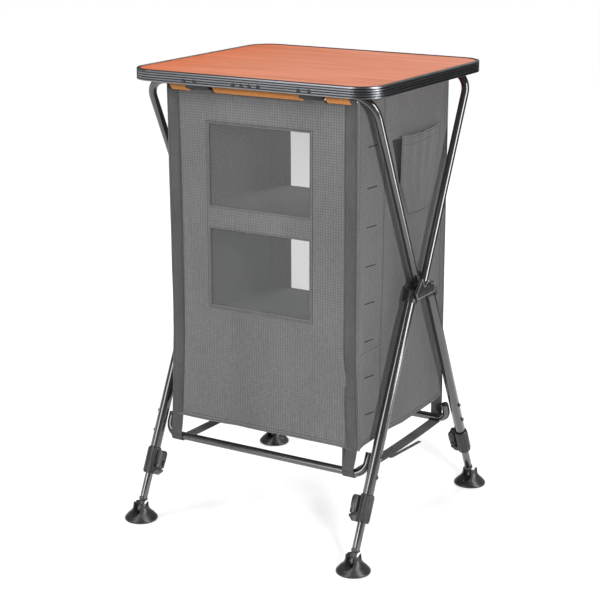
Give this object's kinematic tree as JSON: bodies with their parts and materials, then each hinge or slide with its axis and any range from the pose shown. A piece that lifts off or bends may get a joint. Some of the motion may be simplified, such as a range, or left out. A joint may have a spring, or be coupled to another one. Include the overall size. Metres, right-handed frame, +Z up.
{
  "type": "camping cabinet",
  "caption": "Folding camping cabinet: framed tabletop on crossed tube frames with telescopic legs, and a hanging fabric bag with shelves, film windows and an open back.",
  "frame": {"origin": "on the ground under the middle of the cabinet", "axes": "+Z up, -Y is the front with the windows, +X is the side with the pocket"},
  "size_m": [0.5762, 0.5992, 0.94],
  "materials": {
    "wood": "satin",
    "rail": "brushed",
    "steel": "satin",
    "tube": "anodised",
    "plastic": "moulded",
    "canvas": "woven",
    "hem": "woven",
    "webbing": "woven",
    "film": "clear"
  },
  "bodies": {
    "root": {"tabletop_board": "wood", "edge_rail": "rail", "rail_joiner": "steel", "front_clip_left": "plastic", "front_clip_right": "plastic", "back_hook_left": "plastic", "back_hook_right": "plastic", "bag_front": "canvas", "window_film": "film", "bag_side_left": "canvas", "bag_side_right": "canvas", "bag_bottom": "canvas", "shelf_lower": "canvas", "shelf_upper": "canvas", "front_sleeve_left": "hem", "front_sleeve_middle": "hem", "front_sleeve_right": "hem", "side_pocket": "canvas"},
    "front_arm": {"upper_frame_front": "tube", "lower_bar_back": "tube", "hub_outer_left": "plastic", "hub_outer_right": "plastic", "hub_pin_left": "steel", "hub_pin_right": "steel", "lower_leg_back_left": "tube", "lower_leg_back_right": "tube", "leg_clamp_back_left": "plastic", "leg_clamp_back_right": "plastic"},
    "back_arm": {"upper_frame_back": "tube", "lower_bar_front": "tube", "hub_inner_left": "plastic", "hub_inner_right": "plastic", "lower_leg_front_left": "tube", "lower_leg_front_right": "tube", "leg_clamp_front_left": "plastic", "leg_clamp_front_right": "plastic", "back_sleeve": "hem"},
    "bag_back": {"bag_back_left": "canvas", "bag_back_right": "canvas", "door_roll": "canvas"},
    "lower_straps": {"bottom_strap_left": "webbing", "bottom_strap_right": "webbing"},
    "back_straps": {"back_strap_left": "webbing", "back_strap_right": "webbing"},
    "leg_back_left": {"inner_leg_back_left": "steel", "leg_ball_back_left": "plastic"},
    "lever_back_left": {"clamp_lever_back_left": "plastic"},
    "foot_back_left": {"foot_back_left": "plastic"},
    "leg_back_right": {"inner_leg_back_right": "steel", "leg_ball_back_right": "plastic"},
    "lever_back_right": {"clamp_lever_back_right": "plastic"},
    "foot_back_right": {"foot_back_right": "plastic"},
    "leg_front_left": {"inner_leg_front_left": "steel", "leg_ball_front_left": "plastic"},
    "lever_front_left": {"clamp_lever_front_left": "plastic"},
    "foot_front_left": {"foot_front_left": "plastic"},
    "leg_front_right": {"inner_leg_front_right": "steel", "leg_ball_front_right": "plastic"},
    "lever_front_right": {"clamp_lever_front_right": "plastic"},
    "foot_front_right": {"foot_front_right": "plastic"}
  },
  "joints": [
    {"name": "fold", "type": "hinge", "parent": "root", "child": "front_arm", "pos_m": [0, -0.204, 0.917], "axis": [-1, 0, 0], "range_deg": [0, 23.81]},
    {"name": "hub_turn", "type": "hinge", "parent": "front_arm", "child": "back_arm", "pos_m": [0, 0, 0.52001], "axis": [1, 0, 0], "range_deg": [-0.5, 48.12]},
    {"name": "bag_gather", "type": "slide", "parent": "root", "child": "bag_back", "axis": [0, -1, 0], "range_m": [-0.005, 0.3449], "deforming": ["bag_back_left", "bag_back_right", "door_roll"]},
    {"name": "lower_straps_follow", "type": "slide", "parent": "root", "child": "lower_straps", "axis": [0, -0.2119, -0.9773], "range_m": [-0.005, 0.1065], "deforming": ["bottom_strap_left", "bottom_strap_right"]},
    {"name": "back_straps_follow", "type": "slide", "parent": "bag_back", "child": "back_straps", "axis": [0, 0, -1], "range_m": [-0.005, 0.1043], "deforming": ["back_strap_left", "back_strap_right"]},
    {"name": "leg_length_back_left", "type": "slide", "parent": "front_arm", "child": "leg_back_left", "axis": [0, 0.4291, -0.9032], "range_m": [-0.035, 0.09]},
    {"name": "lever_back_left", "type": "hinge", "parent": "front_arm", "child": "lever_back_left", "pos_m": [-0.2335, 0.22458, 0.10836], "axis": [0, 0.9032, 0.4291], "range_deg": [0, 90]},
    {"name": "foot_tilt_back_left", "type": "hinge", "parent": "leg_back_left", "child": "foot_back_left", "pos_m": [-0.254, 0.26514, 0.023], "axis": [1, 0, 0], "range_deg": [-20, 20]},
    {"name": "leg_length_back_right", "type": "slide", "parent": "front_arm", "child": "leg_back_right", "axis": [0, 0.4291, -0.9032], "range_m": [-0.035, 0.09]},
    {"name": "lever_back_right", "type": "hinge", "parent": "front_arm", "child": "lever_back_right", "pos_m": [0.2335, 0.22458, 0.10836], "axis": [0, -0.9032, -0.4291], "range_deg": [0, 90]},
    {"name": "foot_tilt_back_right", "type": "hinge", "parent": "leg_back_right", "child": "foot_back_right", "pos_m": [0.254, 0.26514, 0.023], "axis": [1, 0, 0], "range_deg": [-20, 20]},
    {"name": "leg_length_front_left", "type": "slide", "parent": "back_arm", "child": "leg_front_left", "axis": [0, -0.4291, -0.9032], "range_m": [-0.035, 0.09]},
    {"name": "lever_front_left", "type": "hinge", "parent": "back_arm", "child": "lever_front_left", "pos_m": [-0.2335, -0.22458, 0.10836], "axis": [0, 0.9032, -0.4291], "range_deg": [0, 90]},
    {"name": "foot_tilt_front_left", "type": "hinge", "parent": "leg_front_left", "child": "foot_front_left", "pos_m": [-0.254, -0.26514, 0.023], "axis": [1, 0, 0], "range_deg": [-20, 20]},
    {"name": "leg_length_front_right", "type": "slide", "parent": "back_arm", "child": "leg_front_right", "axis": [0, -0.4291, -0.9032], "range_m": [-0.035, 0.09]},
    {"name": "lever_front_right", "type": "hinge", "parent": "back_arm", "child": "lever_front_right", "pos_m": [0.2335, -0.22458, 0.10836], "axis": [0, -0.9032, 0.4291], "range_deg": [0, 90]},
    {"name": "foot_tilt_front_right", "type": "hinge", "parent": "leg_front_right", "child": "foot_front_right", "pos_m": [0.254, -0.26514, 0.023], "axis": [1, 0, 0], "range_deg": [-20, 20]}
  ],
  "couplings": [
    {"joint": "hub_turn", "follows": "fold", "ratio": 2},
    {"joint": "bag_gather", "follows": "fold", "m_per_rad": 0.8058},
    {"joint": "lower_straps_follow", "follows": "fold", "m_per_rad": 0.23211},
    {"joint": "back_straps_follow", "follows": "fold", "m_per_rad": 0.22684}
  ]
}
